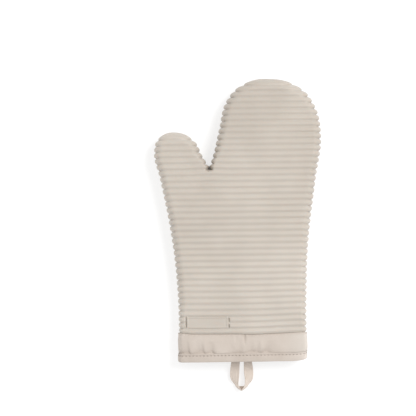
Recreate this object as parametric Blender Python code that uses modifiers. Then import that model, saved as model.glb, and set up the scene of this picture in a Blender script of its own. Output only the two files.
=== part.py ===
"""A ribbed silicone oven mitt with a quilted liner, a sewn fabric cuff and a hanging loop.

The mitt lies on its back: +Y runs from the cuff to the fingertips, +X away from the thumb, +Z up.
Every layer is the same rounded outline, set in by its own depth below the outer surface, so the
layers nest with a small gap between them. Sizes are in metres.
"""

import math

import bmesh
import bpy
from mathutils import Matrix, Vector

MM = 0.001

# Overall size
HALF_THICKNESS = 18 * MM
EDGE_RADIUS = 15 * MM
CUFF_HALF_WIDTH = 75.3 * MM
GAP = 0.3 * MM

# Depth of each layer's outer face below the mitt's outer surface, and its thickness
SILICONE_WALL = 2.6 * MM
BINDING_OUTER, BINDING_THICK = 0.8 * MM, 0.7 * MM
BAND_OUTER, BAND_THICK = 1.8 * MM, 1.0 * MM
FLANGE_OUTER, FLANGE_THICK = 3.1 * MM, 0.8 * MM
PADDING_OUTER, PADDING_THICK = 4.2 * MM, 2.0 * MM
LINING_OUTER, LINING_THICK = 6.5 * MM, 0.6 * MM
BINDING_INNER_LEG = 7.4 * MM

# Heights along the mitt, from the hem's lower edge
HEM_HEIGHT = 10.9 * MM
BAND_TOP = 32.7 * MM
FLANGE_BOTTOM = 21 * MM
SILICONE_BOTTOM = BAND_TOP + GAP
WEB_TOP = SILICONE_BOTTOM + 2.5 * MM
LAYERS_BOTTOM = BINDING_THICK + GAP
PAST_THE_MOUTH = -45 * MM
PAST_THE_TIPS = 345 * MM
PAST_THE_SIDES = 120 * MM

# The blank plaque, which takes the place of two ribs on the front
PLAQUE_CENTRE = Vector((-40.2 * MM, 46.0 * MM))
PLAQUE_SIZE = Vector((48.0 * MM, 12.8 * MM))
PLAQUE_PROUD = 0.4 * MM
PLAQUE_SUNK = 1.8 * MM

# Sewing thread
THREAD_RADIUS = 0.25 * MM
BAND_STITCH_HEIGHT = 31.2 * MM
HEM_STITCH_HEIGHT = 8.2 * MM

# Hanging loop: a flat tape whose two ends are sewn inside the back of the hem
TAPE_WIDTH, TAPE_THICK = 9.8 * MM, 1.2 * MM
LOOP_CENTRE_X = -1.2 * MM
LOOP_HINGE_Y = -0.8 * MM
TAIL_FROM, TAIL_TO = 0.1 * MM, 9.5 * MM
TAPE_LEVEL = BINDING_INNER_LEG + BINDING_THICK + GAP + TAPE_THICK / 2
APEX_LEVEL = TAPE_WIDTH / 2 + 0.2 * MM
LEG_OFFSET = 7.25 * MM
TACK_SIZE = Vector((22 * MM, 2.6 * MM, 0.6 * MM))
TACK_Y = 5.2 * MM

# Half of the loop's centre line: distance from its middle, distance below the hinge, twist
LOOP_STATIONS = (
    (LEG_OFFSET, 0.0 * MM, 0),
    (7.6 * MM, 6.0 * MM, 0),
    (7.9 * MM, 12.0 * MM, 0),
    (7.9 * MM, 17.5 * MM, 12),
    (7.2 * MM, 21.5 * MM, 34),
    (5.9 * MM, 25.2 * MM, 60),
    (4.0 * MM, 28.6 * MM, 78),
    (1.7 * MM, 31.2 * MM, 88),
)
LOOP_LENGTH = 32.0 * MM

# The mitt's outline, up the side away from the thumb, over the fingertips, down into the crotch
# and round the thumb. The last value of a corner is "VECTOR"; the rest are smooth.
OUTLINE = (
    ("cuff corner", CUFF_HALF_WIDTH, PAST_THE_MOUTH, "VECTOR"),
    ("cuff", CUFF_HALF_WIDTH, 5 * MM, "AUTO"),
    ("wrist", 76.2 * MM, 75 * MM, "AUTO"),
    ("palm", 79.8 * MM, 143 * MM, "AUTO"),
    ("knuckles", 89.3 * MM, 213 * MM, "AUTO"),
    ("widest point", 96.2 * MM, 265 * MM, "AUTO"),
    ("outer fingertip", 88.5 * MM, 300 * MM, "AUTO"),
    ("fingertips, right", 69.5 * MM, 318.8 * MM, "AUTO"),
    ("fingertips, top", 36.0 * MM, 329.8 * MM, "AUTO"),
    ("fingertips, left", 4.5 * MM, 323.0 * MM, "AUTO"),
    ("inner fingertip", -14.0 * MM, 304.5 * MM, "AUTO"),
    ("inner finger", -23.4 * MM, 271 * MM, "AUTO"),
    ("above the crotch", -31.5 * MM, 237.0 * MM, "AUTO"),
    ("crotch, finger side", -33.5 * MM, 229.0 * MM, "AUTO"),
    ("crotch", -35.0 * MM, 225.4 * MM, "AUTO"),
    ("crotch, thumb side", -36.5 * MM, 229.0 * MM, "AUTO"),
    ("thumb, above the crotch", -40.2 * MM, 237.5 * MM, "AUTO"),
    ("thumb, inner side", -49.8 * MM, 256.0 * MM, "AUTO"),
    ("thumb tip", -73.5 * MM, 269.2 * MM, "AUTO"),
    ("thumb, outer corner", -92.8 * MM, 261.8 * MM, "AUTO"),
    ("thumb, outer side", -99.0 * MM, 246.0 * MM, "AUTO"),
    ("thumb root", -92.3 * MM, 213.8 * MM, "AUTO"),
    ("palm, thumb side", -81.0 * MM, 150.6 * MM, "AUTO"),
    ("wrist, thumb side", -75.6 * MM, 85 * MM, "AUTO"),
    ("cuff, thumb side", -CUFF_HALF_WIDTH, 5 * MM, "AUTO"),
    ("cuff corner, thumb side", -CUFF_HALF_WIDTH, PAST_THE_MOUTH, "VECTOR"),
)
OUTLINE_STEPS = 3
EDGE_STEPS = 3

SILICONE_COLOUR = (0.63, 0.57, 0.50)
TWILL_COLOUR = (0.66, 0.59, 0.53)
THREAD_COLOUR = (0.58, 0.50, 0.43)
PADDING_COLOUR = (0.85, 0.83, 0.79)
LINING_COLOUR = (0.75, 0.71, 0.66)


def clear_scene():
    for thing in list(bpy.data.objects):
        bpy.data.objects.remove(thing, do_unlink=True)


def new_collection(name):
    collection = bpy.data.collections.new(name)
    bpy.context.scene.collection.children.link(collection)
    return collection


def material(name, colour, roughness):
    made = bpy.data.materials.new(name)
    made.use_nodes = True
    shader = made.node_tree.nodes["Principled BSDF"]
    shader.inputs["Base Color"].default_value = (*colour, 1)
    shader.inputs["Roughness"].default_value = roughness
    shader.inputs["Metallic"].default_value = 0
    made.diffuse_color = (*colour, 1)
    return made


def add_object(name, mesh, collection, frame):
    made = bpy.data.objects.new(name, mesh)
    collection.objects.link(made)
    made.parent = frame
    return made


def mesh_from_curve(curve, name):
    """The curve's shape as a mesh whose loose caps are welded on."""
    holder = bpy.data.objects.new(name, curve)
    bpy.context.scene.collection.objects.link(holder)
    evaluated = holder.evaluated_get(bpy.context.evaluated_depsgraph_get())
    mesh = bpy.data.meshes.new_from_object(evaluated)
    bpy.data.objects.remove(holder)
    shape = bmesh.new()
    shape.from_mesh(mesh)
    bmesh.ops.remove_doubles(shape, verts=shape.verts, dist=0.01 * MM)
    bmesh.ops.recalc_face_normals(shape, faces=shape.faces)
    shape.to_mesh(mesh)
    shape.free()
    mesh.name = name
    return mesh


def mitt_mesh(name, inset):
    """The mitt's whole outline as a solid slab with round edges, set in by a depth on every side."""
    curve = bpy.data.curves.new(name, "CURVE")
    curve.dimensions = "2D"
    curve.fill_mode = "BOTH"
    curve.resolution_u = OUTLINE_STEPS
    curve.render_resolution_u = 0
    curve.extrude = HALF_THICKNESS - EDGE_RADIUS
    curve.bevel_depth = EDGE_RADIUS - inset
    curve.bevel_resolution = EDGE_STEPS
    curve.offset = -EDGE_RADIUS
    spline = curve.splines.new("BEZIER")
    spline.bezier_points.add(len(OUTLINE) - 1)
    spline.use_cyclic_u = True
    for point, (_, x, y, handles) in zip(spline.bezier_points, OUTLINE):
        point.co = (x, y, 0)
        point.handle_left_type = handles
        point.handle_right_type = handles
    mesh = mesh_from_curve(curve, name)
    mesh.transform(Matrix.Translation((0, 0, HALF_THICKNESS)))
    return mesh


def box_mesh(name, low, high):
    low, high = Vector(low), Vector(high)
    shape = bmesh.new()
    bmesh.ops.create_cube(shape, size=1)
    place = Matrix.Translation((low + high) / 2) @ Matrix.Diagonal((*(high - low), 1))
    bmesh.ops.transform(shape, matrix=place, verts=shape.verts)
    mesh = bpy.data.meshes.new(name)
    shape.to_mesh(mesh)
    shape.free()
    return mesh


def boolean(piece, operation, other):
    step = piece.modifiers.new(f"{operation.lower()} {other.name}", "BOOLEAN")
    step.operation = operation
    step.object = other
    step.solver = "EXACT"


class Workshop:
    """Makes the pieces and the cutters, all standing in one frame."""

    def __init__(self):
        self.parts = new_collection("oven_mitt")
        self.cutters = new_collection("oven_mitt_cutters")
        self.frame = bpy.data.objects.new("mitt_frame", None)
        self.parts.objects.link(self.frame)
        self.made = {}

    def part(self, name, mesh, look):
        made = add_object(name, mesh, self.parts, self.frame)
        made.data.materials.clear()
        made.data.materials.append(look)
        return made

    def cutter(self, name, mesh):
        made = add_object(name, mesh, self.cutters, self.frame)
        made.display_type = "WIRE"
        made.hide_render = True
        return made

    def slab(self, inset):
        """The cutter of the mitt's outline at this depth, made once."""
        if inset not in self.made:
            name = f"cut_slab_{inset / MM:.1f}"
            self.made[inset] = self.cutter(name, mitt_mesh(name, inset))
        return self.made[inset]

    def half_space(self, side, bottom, top=PAST_THE_TIPS):
        """The front or back half of the mitt's room, or both, between two heights along it."""
        key = (side, bottom, top)
        if key not in self.made:
            lowest = HALF_THICKNESS + GAP / 2 if side == "front" else -HALF_THICKNESS
            highest = HALF_THICKNESS - GAP / 2 if side == "back" else 3 * HALF_THICKNESS
            name = f"cut_{side}_{bottom / MM:.1f}_{top / MM:.1f}"
            low = (-PAST_THE_SIDES, bottom, lowest)
            high = (PAST_THE_SIDES, top, highest)
            self.made[key] = self.cutter(name, box_mesh(name, low, high))
        return self.made[key]

    def layer(self, name, side, outer, thick, bottom, look, top=PAST_THE_TIPS):
        """One fabric layer of the front or back half, as deep all over as it is thick."""
        piece = self.part(name, mitt_mesh(name, outer), look)
        boolean(piece, "INTERSECT", self.half_space(side, bottom, top))
        boolean(piece, "DIFFERENCE", self.slab(outer + thick))
        return piece


def silicone_shells(shop, look):
    """The moulded front and back: a wall, and a thinner flange that the cuff band is sewn over."""
    hollow = shop.cutter("cut_silicone_hollow", mitt_mesh("cut_silicone_hollow", SILICONE_WALL))
    boolean(hollow, "INTERSECT", shop.half_space("both", WEB_TOP))
    boolean(hollow, "UNION", shop.slab(FLANGE_OUTER + FLANGE_THICK))
    shells = {}
    for side in ("front", "back"):
        flange = shop.cutter(f"flange_{side}", mitt_mesh(f"flange_{side}", FLANGE_OUTER))
        boolean(flange, "INTERSECT", shop.half_space(side, FLANGE_BOTTOM))
        name = f"silicone_{side}"
        shell = shop.part(name, mitt_mesh(name, 0), look)
        boolean(shell, "INTERSECT", shop.half_space(side, SILICONE_BOTTOM))
        boolean(shell, "UNION", flange)
        boolean(shell, "DIFFERENCE", hollow)
        shells[side] = shell
    return shells


def plaque(shop, shell):
    """The blank name plate, moulded in one with the front shell."""
    centre = PLAQUE_CENTRE.to_3d()
    half = (PLAQUE_SIZE / 2).to_3d()
    face = 2 * HALF_THICKNESS
    low = centre - half + Vector((0, 0, face - PLAQUE_SUNK))
    high = centre + half + Vector((0, 0, face + PLAQUE_PROUD))
    boolean(shell, "UNION", shop.cutter("plaque_block", box_mesh("plaque_block", low, high)))


def hem_binding(shop, look):
    """One folded tape round the cuff's lower edge, with a leg outside and a leg inside."""
    inner_face = BINDING_INNER_LEG + BINDING_THICK
    ring = shop.part("hem_binding", mitt_mesh("hem_binding", BINDING_OUTER), look)
    boolean(ring, "INTERSECT", shop.half_space("both", 0, HEM_HEIGHT))
    boolean(ring, "DIFFERENCE", shop.slab(inner_face))
    core = BINDING_OUTER + BINDING_THICK
    channel = shop.cutter("cut_binding_channel", mitt_mesh("cut_binding_channel", core))
    boolean(channel, "INTERSECT", shop.half_space("both", BINDING_THICK))
    boolean(channel, "DIFFERENCE", shop.slab(BINDING_INNER_LEG))
    boolean(ring, "DIFFERENCE", channel)


def thread_ring(shop, name, height, below, look):
    """A line of sewing that runs round the cuff on the face of the layer at this depth."""
    depth = below - GAP - THREAD_RADIUS
    radius = EDGE_RADIUS - depth
    across = CUFF_HALF_WIDTH - EDGE_RADIUS
    upright = HALF_THICKNESS - EDGE_RADIUS
    steps = 5
    points = []
    for quarter, (x, z) in enumerate(((1, 1), (-1, 1), (-1, -1), (1, -1))):
        for step in range(steps + 1):
            turn = math.radians(90 * (quarter + step / steps))
            offset = Vector((math.cos(turn), math.sin(turn))) * radius
            points.append((x * across + offset.x, height, HALF_THICKNESS + z * upright + offset.y))
    curve = bpy.data.curves.new(name, "CURVE")
    curve.dimensions = "3D"
    curve.bevel_depth = THREAD_RADIUS
    curve.bevel_resolution = 1
    curve.render_resolution_u = 0
    spline = curve.splines.new("POLY")
    spline.points.add(len(points) - 1)
    spline.use_cyclic_u = True
    for point, place in zip(spline.points, points):
        point.co = (*place, 1)
    shop.part(name, mesh_from_curve(curve, name), look)


def loop_line():
    """The loop's centre line from one end to the other, as (place, twist) pairs."""
    down = []
    for out, below, twist in LOOP_STATIONS:
        drop = (TAPE_LEVEL - APEX_LEVEL) * below / LOOP_LENGTH
        down.append((-out, -below, TAPE_LEVEL - drop, math.radians(twist)))
    apex = [(0, -LOOP_LENGTH, APEX_LEVEL, math.radians(90))]
    up = [(-x, y, z, twist) for x, y, z, twist in reversed(down)]
    places = down + apex + up
    return [(Vector((LOOP_CENTRE_X + x, LOOP_HINGE_Y + y, z)), t) for x, y, z, t in places]


def hang_loop(shop, look):
    """The tape loop: flat where it leaves the hem, turned on edge where it comes round."""
    line = loop_line()
    shape = bmesh.new()
    rings = []
    for i, (place, twist) in enumerate(line):
        before, after = line[max(i - 1, 0)][0], line[min(i + 1, len(line) - 1)][0]
        along = (after - before).normalized()
        inward = Vector((-along.y, along.x, 0)).normalized()
        if i in (0, len(line) - 1):
            inward = Vector((1 if i == 0 else -1, 0, 0))
        across = inward * math.cos(twist) + Vector((0, 0, math.sin(twist)))
        face = Vector((0, 0, math.cos(twist))) - inward * math.sin(twist)
        corners = ((-1, -1), (1, -1), (1, 1), (-1, 1))
        ring = []
        for side, depth in corners:
            offset = across * side * TAPE_WIDTH / 2 + face * depth * TAPE_THICK / 2
            ring.append(shape.verts.new(place + offset))
        rings.append(ring)
    for ring, following in zip(rings, rings[1:]):
        for i in range(4):
            j = (i + 1) % 4
            shape.faces.new((ring[i], ring[j], following[j], following[i]))
    shape.faces.new(list(reversed(rings[0])))
    shape.faces.new(rings[-1])
    bmesh.ops.recalc_face_normals(shape, faces=shape.faces)
    hinge = Vector((LOOP_CENTRE_X, LOOP_HINGE_Y, TAPE_LEVEL))
    bmesh.ops.translate(shape, vec=-hinge, verts=shape.verts)
    mesh = bpy.data.meshes.new("hang_loop")
    shape.to_mesh(mesh)
    shape.free()
    loop = shop.part("hang_loop", mesh, look)
    loop.location = hinge


def loop_ends(shop, tape_look, thread_look):
    """The sewn-in ends of the tape, and the bar tack that holds them to the binding."""
    under, over = TAPE_LEVEL - TAPE_THICK / 2, TAPE_LEVEL + TAPE_THICK / 2
    for name, side in (("loop_end_left", -1), ("loop_end_right", 1)):
        middle = LOOP_CENTRE_X + side * LEG_OFFSET
        low = (middle - TAPE_WIDTH / 2, TAIL_FROM, under)
        high = (middle + TAPE_WIDTH / 2, TAIL_TO, over)
        shop.part(name, box_mesh(name, low, high), tape_look)
    centre = Vector((LOOP_CENTRE_X, TACK_Y, over + GAP + TACK_SIZE.z / 2))
    tack_mesh = box_mesh("bar_tack", centre - TACK_SIZE / 2, centre + TACK_SIZE / 2)
    tack = shop.part("bar_tack", tack_mesh, thread_look)
    rounding = tack.modifiers.new("rounding", "BEVEL")
    rounding.width = 0.2 * MM
    rounding.segments = 2


def centre_on_origin(shop):
    """Moves the frame so that the whole mitt's box stands centred on the origin."""
    bpy.context.view_layer.update()
    graph = bpy.context.evaluated_depsgraph_get()
    corners = []
    for piece in shop.parts.objects:
        if piece.type == "MESH":
            shown = piece.evaluated_get(graph)
            corners += [shown.matrix_world @ v.co for v in shown.data.vertices]
    middle = [(min(c[k] for c in corners) + max(c[k] for c in corners)) / 2 for k in (0, 1)]
    shop.frame.location = (-middle[0], -middle[1], 0)


def build():
    clear_scene()
    shop = Workshop()
    padding = material("padding", PADDING_COLOUR, 0.95)
    lining = material("lining", LINING_COLOUR, 0.9)
    band = material("cuff_twill", TWILL_COLOUR, 0.85)
    thread = material("thread", THREAD_COLOUR, 0.7)

    shells = silicone_shells(shop, material("silicone", SILICONE_COLOUR, 0.5))
    plaque(shop, shells["front"])
    for side in ("front", "back"):
        shop.layer(f"padding_{side}", side, PADDING_OUTER, PADDING_THICK, LAYERS_BOTTOM, padding)
        shop.layer(f"lining_{side}", side, LINING_OUTER, LINING_THICK, LAYERS_BOTTOM, lining)
        shop.layer(
            f"cuff_band_{side}", side, BAND_OUTER, BAND_THICK, LAYERS_BOTTOM, band, BAND_TOP
        )
    hem_binding(shop, material("binding_twill", TWILL_COLOUR, 0.85))
    thread_ring(shop, "band_thread", BAND_STITCH_HEIGHT, BAND_OUTER, thread)
    thread_ring(shop, "hem_thread", HEM_STITCH_HEIGHT, BINDING_OUTER, thread)
    tape = material("loop_tape", TWILL_COLOUR, 0.85)
    hang_loop(shop, tape)
    loop_ends(shop, tape, thread)
    centre_on_origin(shop)


build()
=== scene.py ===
"""Looks for the ribbed silicone oven mitt: silicone shells, quilted liner, twill cuff, tape loop.

The mitt is worked out in its own plan, in metres: x across from the middle of the cuff, y along from
the hem to the fingertips, z up from the floor. to_frame() then moves it to where the CAD stands.
"Front" is the upper half, which carries the plaque, and "back" is the half that lies on the floor.
"""

import math

import bpy
import numpy as np
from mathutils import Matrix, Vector


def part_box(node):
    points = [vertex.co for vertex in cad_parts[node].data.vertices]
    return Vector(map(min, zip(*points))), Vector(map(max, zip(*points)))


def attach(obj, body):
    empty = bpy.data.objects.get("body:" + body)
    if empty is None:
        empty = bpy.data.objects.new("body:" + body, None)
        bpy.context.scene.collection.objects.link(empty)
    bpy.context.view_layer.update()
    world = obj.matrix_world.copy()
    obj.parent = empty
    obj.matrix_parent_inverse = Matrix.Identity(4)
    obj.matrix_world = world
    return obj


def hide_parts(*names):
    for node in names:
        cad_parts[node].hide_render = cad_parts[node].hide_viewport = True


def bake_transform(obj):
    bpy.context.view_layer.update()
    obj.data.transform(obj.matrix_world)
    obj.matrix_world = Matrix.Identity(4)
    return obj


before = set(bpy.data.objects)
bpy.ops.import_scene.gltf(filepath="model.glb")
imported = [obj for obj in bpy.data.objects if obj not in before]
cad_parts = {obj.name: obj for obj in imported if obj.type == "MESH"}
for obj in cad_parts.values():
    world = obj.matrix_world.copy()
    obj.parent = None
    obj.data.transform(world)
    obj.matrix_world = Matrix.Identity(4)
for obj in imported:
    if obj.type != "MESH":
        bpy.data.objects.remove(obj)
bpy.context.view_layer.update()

MM = 0.001

# Where the CAD stands: the middle of the hem's lower edge. The halves meet at the parting height
HEM_LOW, HEM_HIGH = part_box("hem_binding")
ORIGIN = np.array([(HEM_LOW.x + HEM_HIGH.x) / 2, HEM_LOW.y, 0.0])
PARTING_Z = 18 * MM

# The rounded edge: how far in from the outline it reaches, and how square its curve is
EDGE_REACH, EDGE_REACH_AT_CUFF = 10 * MM, 5 * MM
EDGE_POWER = 2.1

# The crotch of the thumb: its place, and how far round it the rounded edge gets narrower
CROTCH_X = -35.1 * MM
CROTCH_REACH = 16 * MM

# Ribs: a soft wave over the hand, and full beads with sharp notches round the edge
RIB_START, RIB_PITCH = 32.4 * MM, 7.077 * MM
RIB_COUNT, THUMB_RIB_COUNT = 42, 33
RIB_DEPTH, BEAD_DEPTH, TIP_BEAD_EXTRA = 1.5 * MM, 2.85 * MM, 0.55 * MM
RIB_POWER, BEAD_POWER = 1.1, 2.5
BEAD_SHARE_AT_THUMB = 0.86

# The silicone halves: their lower lip, their wall, and how far they lie within the outline
SILICONE_BOTTOM = 32.9 * MM
SILICONE_WALL = 3.1 * MM
SILICONE_INSET = 0.2 * MM

# The blank plaque, its raised rim, and the slots at its ends, as corners in millimetres
PLAQUE_LOW, PLAQUE_HIGH = np.array([-64.0, 40.9]) * MM, np.array([-16.8, 54.0]) * MM
PLAQUE_DEPTH, PLAQUE_RIM_WIDTH = 0.55 * MM, 1.15 * MM
SLOT_DEPTH = 2.8 * MM
SLOTS = (
    ((-65.7, 41.4), (-64.0, 54.0)),
    ((-16.5, 48.4), (-14.4, 52.7)),
    ((-16.5, 41.2), (-14.4, 45.3)),
)

# The outline, up the side away from the thumb, over the fingertips and round the thumb:
# the place's name, its x and y in millimetres, and the kind of its handles
OUTLINE = (
    ("below the cuff", 75.3, -45, "VECTOR"),
    ("cuff", 75.4, 5, "AUTO"),
    ("wrist", 76.2, 75, "AUTO"),
    ("palm", 79.8, 143, "AUTO"),
    ("knuckles", 89.3, 213, "AUTO"),
    ("widest point", 96.2, 265, "AUTO"),
    ("outer fingertip", 88.5, 300, "AUTO"),
    ("fingertips, right", 71.6, 319.6, "AUTO"),
    ("fingertips, top", 36.0, 329.8, "AUTO"),
    ("fingertips, left", 4.5, 323.0, "AUTO"),
    ("inner fingertip", -14.0, 304.5, "AUTO"),
    ("inner finger", -23.4, 271, "AUTO"),
    ("finger's root", -30.3, 242.0, "AUTO"),
    ("above the crotch", -32.6, 234.4, "AUTO"),
    ("crotch, finger side", -34.1, 228.2, "AUTO"),
    ("crotch", -35.1, 224.2, "AUTO"),
    ("crotch, thumb side", -36.1, 228.1, "AUTO"),
    ("thumb, above the crotch", -38.7, 233.7, "AUTO"),
    ("thumb's inner root", -43.6, 242.5, "AUTO"),
    ("thumb, inner side", -49.8, 256.0, "AUTO"),
    ("thumb tip", -73.5, 268.6, "AUTO"),
    ("thumb, outer corner", -93.4, 261.9, "AUTO"),
    ("thumb, outer side", -99.4, 246.0, "AUTO"),
    ("thumb root", -93.0, 213.8, "AUTO"),
    ("palm, thumb side", -81.5, 150.6, "AUTO"),
    ("wrist, thumb side", -75.1, 85, "AUTO"),
    ("cuff, thumb side", -74.2, 5, "AUTO"),
    ("below the cuff, thumb side", -74.2, -45, "VECTOR"),
)
OUTLINE_STEPS = 14

# The grids: columns on the thumb's and the fingers' side of the crotch, and each rib's rows
SHELL_COLUMNS = (46, 80)
LINER_COLUMNS = (22, 38)
RIB_ROWS = (0.0, 0.06, 0.15, 0.27, 0.42, 0.58, 0.73, 0.85, 0.94)
WIDEST_CELL = 10 * MM
# Where the silicone's columns crowd: the ends of the plaque and its slots, in millimetres
FINE_COLUMNS = (-65.7, -64.0, -62.9, -17.6, -16.5, -14.5)

# Padding and lining: depth of the outer face below the silicone's crests, and thickness
PADDING_DEPTH, PADDING_THICK = 4.2 * MM, 1.9 * MM
LINING_DEPTH, LINING_THICK = 6.4 * MM, 0.5 * MM
LINING_PUFF, LINING_RISE = 0.9 * MM, 0.6 * MM
LINER_BOTTOM, LINER_ROW_STEP, LINER_ROW_COUNT = 1.3 * MM, 3 * MM, 111
QUILT_SPACING = 26 * MM

# The cuff band and the folded hem: heights, and depths below the silicone's crests
HALF_CUFF = 75.2 * MM
CUFF_TOP = 36 * MM
CUFF_STEPS = 400
SECTION_STEPS = 1500
BAND_DEPTH, BAND_THICK = 0.8 * MM, 0.8 * MM
HEM_DEPTH, HEM_WHOLE_DEPTH = 0.1 * MM, 8 * MM
HEM_HEIGHT, HEM_INNER_HEIGHT = 9.9 * MM, 9 * MM
HEM_TURN = 1.2 * MM

# The folds over the hem: place across, width, slant and relative depth, in millimetres
PUCKERS = (
    (-71.5, 1.5, 0.1, 0.8), (-66.3, 2.0, 0.05, 1.3), (-54.3, 1.8, 0.15, 1.2),
    (-49.0, 1.8, 0.1, 1.3), (-39.0, 2.3, 0.3, 1.5), (-12.0, 2.6, -0.1, 0.5),
    (-3.5, 2.2, 0.15, 0.9), (6.5, 2.4, 0.1, 0.7), (10.5, 1.7, 0.1, 1.0),
    (17.0, 1.9, 0.1, 1.4), (28.0, 2.4, 0.3, 1.5), (36.0, 3.0, 0.3, 0.4),
)
DEEPEST_PUCKER = 3 * MM

# Stitches
HEM_STITCH_Y, BAND_STITCH_Y = 7.6 * MM, 31 * MM
HEM_STITCH_LENGTH, BAND_STITCH_LENGTH = 2.1 * MM, 2.2 * MM
STITCH_PITCH = 4.15 * MM
STITCH_SIDES, STITCH_RINGS = 6, 7
THREAD_RADIUS = 0.36 * MM
TACK_WIDTH, TACK_HEIGHT, TACK_Y = 21 * MM, 2.4 * MM, 5.2 * MM
TACK_STEPS, TACK_RADIUS = 44, 0.24 * MM

# The loop: its tape's thickness and level, its middle across, and the place along the mitt of its hinge
TAPE_THICK, TAPE_LEVEL = 1.1 * MM, 9 * MM
LOOP_CENTRE_X, LOOP_HINGE_Y = -1.2 * MM, -0.8 * MM
# Each station: the inner edge, which becomes the top one at the tip, then the outer edge
LOOP_STATIONS = (
    ((-3.2, 9.6, 9.0), (-13.1, 9.6, 9.0)),
    ((-3.2, 4.0, 13.5), (-13.1, 4.0, 13.5)),
    ((-3.2, -1.0, 14.5), (-13.3, -1.0, 14.2)),
    ((-3.6, -8.2, 11.7), (-14.3, -8.9, 9.4)),
    ((-4.0, -15.5, 10.3), (-15.0, -16.2, 6.9)),
    ((-4.5, -21.0, 10.0), (-14.2, -22.0, 5.8)),
    ((-5.1, -25.4, 9.4), (-11.7, -25.9, 4.2)),
    ((-5.2, -28.9, 8.6), (-9.0, -28.4, 2.4)),
    ((-4.5, -31.3, 8.6), (-6.6, -30.3, 1.5)),
    ((-3.4, -33.3, 9.7), (-4.2, -31.1, 1.2)),
    ((-1.9, -34.7, 10.8), (-1.8, -31.3, 1.2)),
    ((-0.5, -33.3, 11.9), (0.9, -31.1, 1.2)),
    ((0.9, -31.2, 12.7), (3.3, -30.2, 1.5)),
    ((1.9, -28.7, 13.0), (6.3, -28.4, 2.4)),
    ((2.4, -25.0, 12.8), (9.7, -25.7, 4.6)),
    ((2.3, -20.8, 11.0), (11.9, -21.7, 6.9)),
    ((1.6, -15.5, 10.3), (12.5, -16.0, 7.8)),
    ((1.5, -8.2, 11.7), (12.1, -8.7, 10.0)),
    ((1.5, -1.0, 14.5), (10.9, -1.0, 14.3)),
    ((1.5, 4.0, 13.5), (10.8, 4.0, 13.5)),
    ((1.5, 9.6, 9.0), (10.8, 9.6, 9.0)),
)
LOOP_STEPS = 9

# Colours, as the shares of red, green and blue light that come back: darker, lighter, and a paler one
# painted as light on the side away from the thumb
SILICONE = ((0.490, 0.440, 0.384), (0.563, 0.511, 0.452))
CUFF = ((0.547, 0.474, 0.412), (0.640, 0.570, 0.510), (0.680, 0.627, 0.568))
BINDING = ((0.505, 0.437, 0.379), (0.612, 0.540, 0.482), (0.750, 0.680, 0.620))
# The tape is paler than the cuff's twill. This is painted light that makes up for the hem's shade falling
# on the loop.
TAPE = ((0.635, 0.550, 0.475), (0.780, 0.685, 0.610))
LINING = ((0.50, 0.45, 0.41), (0.60, 0.55, 0.50))
WADDING = ((0.60, 0.58, 0.54), (0.80, 0.78, 0.74))
# The hem's thread is dark brown, darkened further as painted shade for the dimples its stitches sink into.
DARK_THREAD_WITH_SHADE = ((0.250, 0.200, 0.165), (0.340, 0.280, 0.235))
PALE_THREAD = ((0.58, 0.50, 0.44), (0.72, 0.65, 0.59))
FLOOR = ((0.38, 0.38, 0.38), (0.40, 0.40, 0.40))

# Lights and camera: the light all round, the floor's own, and what the camera takes in
WORLD_LIGHT, FLOOR_LIGHT = 0.72, 0.66
SEEN_WIDTH = 485 * MM
SEEN_MIDDLE = np.array([-37.3, 180.2, 0]) * MM
CAMERA_TURN = math.radians(-1.0)


# ---------------------------------------------------------------- small helpers

def smoothstep(low, high, value):
    """0 up to low and 1 from high on, with a soft rise between them."""
    t = np.clip((value - low) / (high - low), 0, 1)
    return t * t * (3 - 2 * t)


def plateau(start, full, still_full, end, value):
    """0, a soft rise from start to full, 1, and a soft fall from still_full to end."""
    return smoothstep(start, full, value) * (1 - smoothstep(still_full, end, value))


def hump(offset, width):
    """1 where the offset is 0, falling away evenly to both sides of it."""
    return np.exp(-((offset / width) ** 2))


def between(a, b, share):
    return a + (b - a) * share


def run_length(line):
    """How far along a line each of its points is."""
    return np.concatenate([[0], np.cumsum(np.linalg.norm(np.diff(line, axis=0), axis=1))])


def ripple(x, y, scale, seed):
    """A smooth uneven surface between about -1 and 1, from a few crossed waves."""
    total = 0
    for k in range(5):
        angle = seed * 1.7 + k * 2.399
        wave = (x * math.cos(angle) + y * math.sin(angle)) / scale * (1 + 0.37 * k)
        total = total + np.sin(wave * 2 * math.pi + seed * 3.1 + k * 1.3) / (1 + 0.5 * k)
    return total / 2.6


def hem_shift(x, y):
    """How far up the hem's edge lies: it bows a little, and its outer corner curls up."""
    side = x / HALF_CUFF
    shift = np.where(x < 0, 0.3 * MM * side**2, -0.4 * MM * side) + 1.2 * MM
    curl = 2.8 * MM * np.clip((x - 54 * MM) / (20.5 * MM), 0, 1.05) ** 2
    return shift + curl * (1.1 - 0.55 * smoothstep(1 * MM, 9 * MM, y))


def lip_shift(x, y):
    """How far up the silicone's lower lip is pulled, more on the thumb's side."""
    lip = 0.25 * MM + 0.8 * MM * smoothstep(-12 * MM, 10 * MM, -x)
    lip = lip + 0.9 * MM * smoothstep(58 * MM, 74 * MM, -x)
    return lip * plateau(22 * MM, 32 * MM, 34 * MM, 39.5 * MM, y)


def shift_along(x, y):
    """How far up the mitt each point is moved: the twist of the hand, the cuff, the hem, the lip."""
    side = x / HALF_CUFF
    twist = 0.0058 * (35 * MM - x)
    cuff = np.where(x < 0, 1.4 * MM * side**2, 1.35 * MM * smoothstep(0.15, 0.95, side))
    shift = between(cuff, twist, smoothstep(40 * MM, 125 * MM, y))
    shift = between(hem_shift(x, y), shift, smoothstep(9 * MM, 28 * MM, y))
    shift = shift - 0.5 * MM * plateau(36 * MM, 60 * MM, 120 * MM, 300 * MM, y)
    from_crotch = (x + 35 * MM) ** 2 + (y - 226 * MM) ** 2
    drawn_up = 0.9 * MM * np.exp(-from_crotch / (17 * MM) ** 2)
    return shift + lip_shift(x, y) + drawn_up + 0.12 * MM * ripple(x, 0.6 * y, 70 * MM, 3)


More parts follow.
